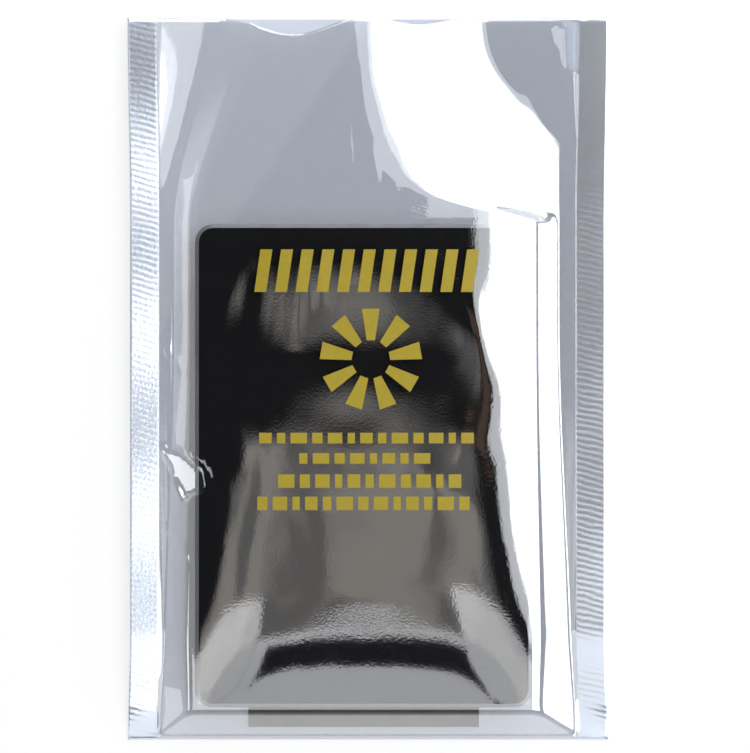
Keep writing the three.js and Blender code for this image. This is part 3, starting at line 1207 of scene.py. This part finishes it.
@dataclass
class Studio:
    """The pale floor, the lights, the surroundings and the camera straight above the bag."""

    camera_height: float = 1.0
    pixels_per_mm: float = 4.796
    bag_middle_px: Pair = (368.0, 379.5)
    frame_px: Pair = (750.0, 753.0)
    sensor_width_mm: float = 36.0
    floor_size: float = 6.0
    floor_drop: float = 0.00005
    floor_grey: float = 0.8
    floor_glow: float = 0.78
    horizon: float = 0.45
    zenith: float = 0.008
    fade: Pair = (0.1, 0.55)

    def camera(self) -> bpy.types.Object:
        """Adds the camera, looking straight down with the mouth at the top of the picture.

        Returns:
            The camera's object.
        """
        data = bpy.data.cameras.new("camera")
        data.sensor_fit = "HORIZONTAL"
        data.sensor_width = self.sensor_width_mm
        seen_width = self.frame_px[0] / self.pixels_per_mm * MM
        data.lens = data.sensor_width * self.camera_height / seen_width
        camera = bpy.data.objects.new("camera", data)
        across = (self.frame_px[0] / 2.0 - self.bag_middle_px[0]) / self.pixels_per_mm * MM
        up = (self.bag_middle_px[1] - self.frame_px[1] / 2.0) / self.pixels_per_mm * MM
        camera.location = (across, up, self.camera_height)
        bpy.context.scene.collection.objects.link(camera)
        bpy.context.scene.camera = camera
        return camera

    def floor(self) -> bpy.types.Object:
        """Adds the floor, white where it is looked at, that still keeps the bag's shadow.

        Returns:
            The floor.
        """
        half = self.floor_size / 2.0 / MM
        points = np.array([(-half, -half, 0.0), (half, -half, 0.0), (half, half, 0.0), (-half, half, 0.0)])
        piece = build_mesh("floor", points, [[0, 1, 2, 3]])
        nodes = Nodes("floor")
        grey = self.floor_grey
        diffuse = nodes.add("BsdfDiffuse", {"Color": (grey, grey, grey, 1.0)})
        glow = nodes.add("Emission", {"Color": (1.0, 1.0, 1.0, 1.0), "Strength": 1.0})
        rays = nodes.add("LightPath")
        seen = rays.outputs["Is Camera Ray"]
        for kind in ("Is Glossy Ray", "Is Transmission Ray"):
            seen = nodes.add("Math", {0: seen, 1: rays.outputs[kind]}, operation="MAXIMUM").outputs[0]
        share = nodes.add("Math", {0: seen, 1: self.floor_glow}, operation="MULTIPLY")
        shader = nodes.add("MixShader", {0: share.outputs[0], 1: diffuse.outputs[0], 2: glow.outputs[0]})
        piece.data.materials.append(nodes.output(shader.outputs[0]))
        piece.location.z = -self.floor_drop
        return piece

    def surroundings(self) -> None:
        """Sets the world: pale round the horizon, dark overhead."""
        world = bpy.data.worlds.new("studio")
        world.use_nodes = True
        tree = world.node_tree
        tree.nodes.clear()
        place = tree.nodes.new("ShaderNodeTexCoord")
        split = tree.nodes.new("ShaderNodeSeparateXYZ")
        fade = tree.nodes.new("ShaderNodeMapRange")
        fade.interpolation_type = "SMOOTHSTEP"
        values = (*self.fade, self.horizon, self.zenith)
        for name, value in zip(("From Min", "From Max", "To Min", "To Max"), values):
            fade.inputs[name].default_value = value
        background = tree.nodes.new("ShaderNodeBackground")
        output = tree.nodes.new("ShaderNodeOutputWorld")
        tree.links.new(place.outputs["Generated"], split.inputs[0])
        tree.links.new(split.outputs["Z"], fade.inputs["Value"])
        tree.links.new(fade.outputs["Result"], background.inputs["Strength"])
        tree.links.new(background.outputs[0], output.inputs["Surface"])
        bpy.context.scene.world = world

    def lights(self) -> list[bpy.types.Object]:
        """Places the soft lights and the pale cards that the film mirrors.

        Returns:
            Their objects.
        """
        cool, copper = (0.97, 0.985, 1.0), (1.0, 0.6, 0.38)
        boxes = [
            overhead("key", (0.20, 1.05), (-0.75, 0.85), 4.2, cool),
            overhead("key_back", (0.03, 1.3), (0.5, 1.5), 3.6, cool, 1.15),
            overhead("key_skirt", (0.17, 0.20), (-0.12, 0.85), 1.6, cool),
            overhead("key_skirt_back", (0.08, 0.17), (0.1, 0.85), 0.75, cool),
            Softbox("side", (1.5, 0.0, 0.35), (0.0, 0.0, 0.1), (1.6, 0.75), 3.2, cool),
            overhead("front_card_far", (-0.5, 0.2), (-0.75, -0.184), 1.05),
            overhead("front_card_left", (-0.5, -0.073), (-0.184, -0.127), 1.05, height=1.09),
            overhead("front_card_right", (0.06, 0.2), (-0.184, -0.127), 1.05, height=1.09),
            overhead("front_card_near", (-0.073, 0.06), (-0.165, -0.158), 1.2),
            overhead("front_card_corner", (-0.073, -0.062), (-0.184, -0.165), 1.05),
            overhead("copper_card", (0.1, 0.16), (-0.055, 0.04), 0.16, copper),
            Softbox("left", (-1.49, -0.42, 1.1), (0.0, 0.0, 0.0), (0.6, 0.34), 2.0, cool),
            Softbox("back", (0.6, 2.0, 0.7), (0.0, 0.0, 0.0), (2.4, 1.3), 3.4, cool),
        ]
        return [box.place() for box in boxes] + [BlotchyCard().place()]


def dress_drive() -> None:
    """Gives the drive's own solids their satin black shell, bevels with a painted highlight, and dark
    connector.

    A face belongs to the bevel where its normal leans: its height is between two limits. The bevel's gloss
    is real, and its lighter grey is a painted highlight.
    """
    least_lean, most_lean = 0.2, 0.97
    shell = SolidFinish("satin_black_shell", (0.006, 0.006, 0.0075), 0.5, 0.0, 0.08).material()
    # bevel colour: a painted highlight on the leaning edge faces, lighter grey than the black shell, with
    # real gloss
    bevel_highlight = SolidFinish("bevel_painted_highlight", (0.3, 0.31, 0.33), 0.35, 0.6, 0.5).material()
    plastic = SolidFinish("connector_plastic", (0.16, 0.15, 0.145), 0.6, 0.0, 0.3).material()
    finishes = {"drive_cover": (shell, bevel_highlight), "drive_base": (shell,), "drive_connector": (plastic,)}
    for name, materials in finishes.items():
        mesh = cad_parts[name].data
        mesh.materials.clear()
        for material in materials:
            mesh.materials.append(material)
        normals = np.empty(3 * len(mesh.polygons), np.float32)
        mesh.polygons.foreach_get("normal", normals)
        tilt = normals.reshape(-1, 3)[:, 2]
        # faces that lean get the painted highlight
        painted_highlight_faces = (tilt > least_lean) & (tilt < most_lean) & (len(materials) > 1)
        mesh.polygons.foreach_set("material_index", painted_highlight_faces.astype(np.int32))
        log.info("dressed %s, %d bevel faces", name, int(painted_highlight_faces.sum()))


def main() -> None:
    """Builds the bag, dresses the drive and sets the studio."""
    logging.basicConfig(level=logging.INFO)
    creases = (
        Crease((24.4, 72.9), (36.9, 49.9), 0.5, 0.12, 1.0),
        Crease((27.6, 71.5), (39.5, 47.0), 0.6, 0.1, 1.5),
        Crease((-1.5, 66.0), (2.5, 24.0), 1.0, 0.045, -0.6),
        Crease((-5.5, 62.0), (-3.0, 20.0), 1.1, 0.05, -0.5),
        Crease((-8.5, 50.0), (-9.5, 14.0), 1.2, 0.07, 0.5),
        Crease((-13.0, 30.0), (-15.0, 6.0), 1.0, 0.06, 0.5),
        Crease((1.5, 58.0), (9.0, 32.0), 0.9, -0.05, -1.0),
        Crease((-41.0, 22.0), (-40.5, -52.0), 0.5, 0.1, 0.3),
        Crease((-42.5, 8.0), (-37.5, 1.0), 0.7, 0.12, 0.3),
        Crease((-42.0, -30.0), (-37.5, -37.0), 0.7, 0.12, -0.3),
    )
    dents = (
        Dent((-22.0, -14.0), (7.0, 8.0), 0.09, 10.0),
        Dent((-4.0, -8.0), (8.0, 6.0), -0.06, -15.0),
        Dent((14.0, -22.0), (5.0, 6.0), 0.09, 30.0),
        Dent((20.0, -12.0), (5.0, 5.0), 0.06, -20.0),
        Dent((-26.0, 14.0), (3.5, 12.0), -0.12, -12.0),
        Dent((22.0, 10.0), (4.0, 9.0), 0.2, 14.0),
        Dent((0.0, -44.0), (14.0, 4.0), 0.03, 3.0),
        Dent((-18.0, -38.0), (7.0, 9.0), -0.05, 20.0),
    )
    facets = (
        Facet(
            (
                (-43.5, -13.6),
                (-40.2, -20.6),
                (-38.2, -24.6),
                (-33.6, -22.9),
                (-33.0, -20.2),
                (-37.6, -15.8),
            ),
            (-38.0, -17.0, 5.75),
            (0.49, 0.12),
        ),
        Facet(
            ((35.2, 72.9), (38.6, 67.6), (43.3, 63.6), (43.3, 74.0), (36.0, 74.0)),
            (40.0, 69.0, 2.95),
            (-0.03, -0.005),
        ),
    )
    form = FilmForm.from_frame(creases=creases, dents=dents, facets=facets)
    bag = ShieldingBag(
        form,
        front_finish=FilmFinish(streak=0.026),
        back_finish=FilmFinish(
            name="backing_film",
            colour=(0.33, 0.4, 0.56),
            metallic=0.12,
            roughness=0.45,
            alpha=0.3,
            # the denser alpha below is painted shade in the pocket
            pocket_shade=0.05,
        ),
    )
    piece = bag.build()
    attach(piece, "root")
    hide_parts("shielding_bag")
    printed = PrintedField(form).build()
    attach(printed, "root")
    dress_drive()
    studio = Studio()
    studio.camera()
    studio.floor()
    studio.surroundings()
    studio.lights()
    bpy.context.scene.view_settings.view_transform = "Standard"


if __name__ == "__main__":
    main()
